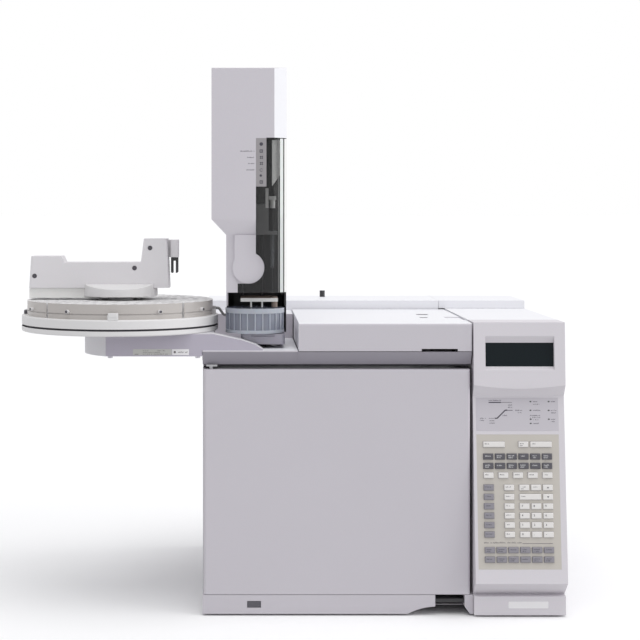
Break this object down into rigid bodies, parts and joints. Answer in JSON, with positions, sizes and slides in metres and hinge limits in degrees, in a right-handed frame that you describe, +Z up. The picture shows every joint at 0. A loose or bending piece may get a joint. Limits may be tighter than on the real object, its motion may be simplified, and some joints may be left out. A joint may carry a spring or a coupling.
{
  "type": "gas chromatograph",
  "caption": "Bench gas chromatograph: oven with hinged door and lid, keypad console, injector tower with smoked door, and round sample tray with gripper arm.",
  "frame": {"origin": "on the bench under the middle of the whole object, tray included", "axes": "+X to the right, +Y to the back, +Z up; the oven door and keypad face -Y"},
  "size_m": [0.8982, 0.59, 0.8997],
  "materials": {
    "housing_grey": "satin powder coat",
    "cover_white": "satin powder coat",
    "moulding_grey": "fine matt",
    "fascia_dark": "matt",
    "steel": "brushed",
    "zinc_sheet": "plated",
    "insulation_fibre": "matt fibre",
    "element_metal": "oxidised",
    "cast_aluminium": "cast",
    "rubber_black": "matt",
    "display_glass": "polished",
    "status_grey": "matt",
    "plate_beige": "matt",
    "key_dark": "matt",
    "key_grey": "matt",
    "key_light": "matt",
    "board_green": "solder resist",
    "column_polyimide": "gloss",
    "smoked_plastic": "smoked, polished",
    "turret_plastic": "translucent grey",
    "dark_plastic": "matt",
    "syringe_glass": "polished",
    "tray_white": "matt",
    "arm_grey": "matt",
    "cable_grey": "matt"
  },
  "bodies": {
    "mainframe": {"base_pan": "housing_grey", "feet": "rubber_black", "left_side_panel": "housing_grey", "right_side_panel": "housing_grey", "back_panel": "housing_grey", "oven_liner": "steel", "oven_insulation": "insulation_fibre", "heater_coil": "element_metal", "fan_motor": "cast_aluminium", "front_fascia": "fascia_dark", "inlet_shelf_cover": "cover_white", "rear_cover_left": "cover_white", "rear_cover_right": "cover_white", "console_top_cover": "cover_white", "console_bezel": "moulding_grey", "display_window": "display_glass", "status_panel": "status_grey", "keypad_plate": "plate_beige", "main_board": "board_green", "power_supply": "cast_aluminium", "epc_manifold": "cast_aluminium", "front_inlet": "steel", "flame_detector": "steel", "column_cage": "steel", "capillary_column": "column_polyimide", "door_hinge_pins": "steel", "tower_base": "cast_aluminium", "tower_housing": "moulding_grey", "tower_front_cover": "moulding_grey", "indicator_strip": "status_grey", "tower_spine": "dark_plastic", "tray_bracket": "moulding_grey", "tray_base": "tray_white", "tray_quadrants": "tray_white", "tray_cable": "cable_grey"},
    "oven_door": {"oven_door_skin": "housing_grey", "oven_door_liner": "zinc_sheet"},
    "latch": {"door_latch": "dark_plastic"},
    "fan": {"oven_fan": "steel"},
    "lid": {"detector_lid": "cover_white"},
    "power": {"power_button": "key_dark"},
    "window_door": {"tower_door": "smoked_plastic"},
    "vial_turret": {"turret": "turret_plastic"},
    "syringe_slide_body": {"syringe_carriage": "dark_plastic", "syringe": "syringe_glass"},
    "plunger_slide_body": {"plunger_carriage": "dark_plastic"},
    "arm": {"arm_hub": "tray_white"},
    "beam": {"arm_beam": "arm_grey"},
    "gripper": {"gripper_head": "arm_grey"},
    "jaw_left": {"gripper_jaw_left": "dark_plastic"},
    "jaw_right": {"gripper_jaw_right": "dark_plastic"},
    "start_key_body": {"start_key": "key_light"},
    "stop_key_body": {"stop_key": "key_light"},
    "prep_run_key_body": {"prep_run_key": "key_light"},
    "zone_keys_body": {"zone_keys": "key_dark"},
    "program_keys_body": {"program_keys": "key_light"},
    "function_keys_body": {"function_keys": "key_grey"},
    "entry_keys_body": {"entry_keys": "key_light"},
    "numeric_keys_body": {"numeric_keys": "key_light"},
    "method_keys_body": {"method_keys": "key_grey"}
  },
  "joints": [
    {"name": "oven_door_hinge", "type": "hinge", "parent": "mainframe", "child": "oven_door", "pos_m": [-0.1269, -0.227, 0.2145], "axis": [0, 0, -1], "range_deg": [0, 110]},
    {"name": "latch_pivot", "type": "hinge", "parent": "mainframe", "child": "latch", "pos_m": [0.2621, -0.209, 0.0235], "axis": [-1, 0, 0], "range_deg": [0, 10], "stiffness_Nm_per_rad": 0.4, "springref_deg": -2.86},
    {"name": "fan_spin", "type": "hinge", "parent": "mainframe", "child": "fan", "pos_m": [0.0591, -0.059, 0.2145], "axis": [0, 1, 0], "continuous": true},
    {"name": "lid_hinge", "type": "hinge", "parent": "mainframe", "child": "lid", "pos_m": [0.1569, 0.103, 0.468], "axis": [-1, 0, 0], "range_deg": [0, 75]},
    {"name": "power_press", "type": "slide", "parent": "mainframe", "child": "power", "axis": [0, 1, 0], "range_m": [0, 0.003], "stiffness_N_per_m": 600},
    {"name": "tower_door_hinge", "type": "hinge", "parent": "mainframe", "child": "window_door", "pos_m": [-0.0056, -0.142, 0.6516], "axis": [0, 0, 1], "range_deg": [0, 90]},
    {"name": "turret_spin", "type": "hinge", "parent": "mainframe", "child": "vial_turret", "pos_m": [-0.0549, -0.164, 0.4565], "axis": [0, 0, 1], "continuous": true},
    {"name": "syringe_slide", "type": "slide", "parent": "mainframe", "child": "syringe_slide_body", "axis": [0, 0, 1], "range_m": [-0.105, 0]},
    {"name": "plunger_slide", "type": "slide", "parent": "syringe_slide_body", "child": "plunger_slide_body", "axis": [0, 0, 1], "range_m": [-0.034, 0]},
    {"name": "arm_swing", "type": "hinge", "parent": "mainframe", "child": "arm", "pos_m": [-0.2831, -0.129, 0.5155], "axis": [0, 0, 1], "range_deg": [-165, 165]},
    {"name": "arm_reach", "type": "slide", "parent": "arm", "child": "beam", "axis": [1, 0, 0], "range_m": [-0.0182, 0.0548]},
    {"name": "gripper_lift", "type": "slide", "parent": "beam", "child": "gripper", "axis": [0, 0, 1], "range_m": [-0.038, 0]},
    {"name": "jaw_left_close", "type": "slide", "parent": "gripper", "child": "jaw_left", "axis": [0, 1, 0], "range_m": [0, 0.0015]},
    {"name": "jaw_right_close", "type": "slide", "parent": "gripper", "child": "jaw_right", "axis": [0, -1, 0], "range_m": [0, 0.0015]},
    {"name": "start_key_press", "type": "slide", "parent": "mainframe", "child": "start_key_body", "axis": [0, 0.9936, -0.113], "range_m": [0, 0.0012], "stiffness_N_per_m": 500},
    {"name": "stop_key_press", "type": "slide", "parent": "mainframe", "child": "stop_key_body", "axis": [0, 0.9936, -0.113], "range_m": [0, 0.0012], "stiffness_N_per_m": 500},
    {"name": "prep_run_key_press", "type": "slide", "parent": "mainframe", "child": "prep_run_key_body", "axis": [0, 0.9936, -0.113], "range_m": [0, 0.0012], "stiffness_N_per_m": 500},
    {"name": "zone_keys_press", "type": "slide", "parent": "mainframe", "child": "zone_keys_body", "axis": [0, 0.9936, -0.113], "range_m": [0, 0.0012], "stiffness_N_per_m": 500},
    {"name": "program_keys_press", "type": "slide", "parent": "mainframe", "child": "program_keys_body", "axis": [0, 0.9936, -0.113], "range_m": [0, 0.0012], "stiffness_N_per_m": 500},
    {"name": "function_keys_press", "type": "slide", "parent": "mainframe", "child": "function_keys_body", "axis": [0, 0.9936, -0.113], "range_m": [0, 0.0012], "stiffness_N_per_m": 500},
    {"name": "entry_keys_press", "type": "slide", "parent": "mainframe", "child": "entry_keys_body", "axis": [0, 0.9936, -0.113], "range_m": [0, 0.0012], "stiffness_N_per_m": 500},
    {"name": "numeric_keys_press", "type": "slide", "parent": "mainframe", "child": "numeric_keys_body", "axis": [0, 0.9936, -0.113], "range_m": [0, 0.0012], "stiffness_N_per_m": 500},
    {"name": "method_keys_press", "type": "slide", "parent": "mainframe", "child": "method_keys_body", "axis": [0, 0.9936, -0.113], "range_m": [0, 0.0012], "stiffness_N_per_m": 500}
  ],
  "couplings": [
    {"joint": "jaw_right_close", "follows": "jaw_left_close", "ratio": 1}
  ]
}
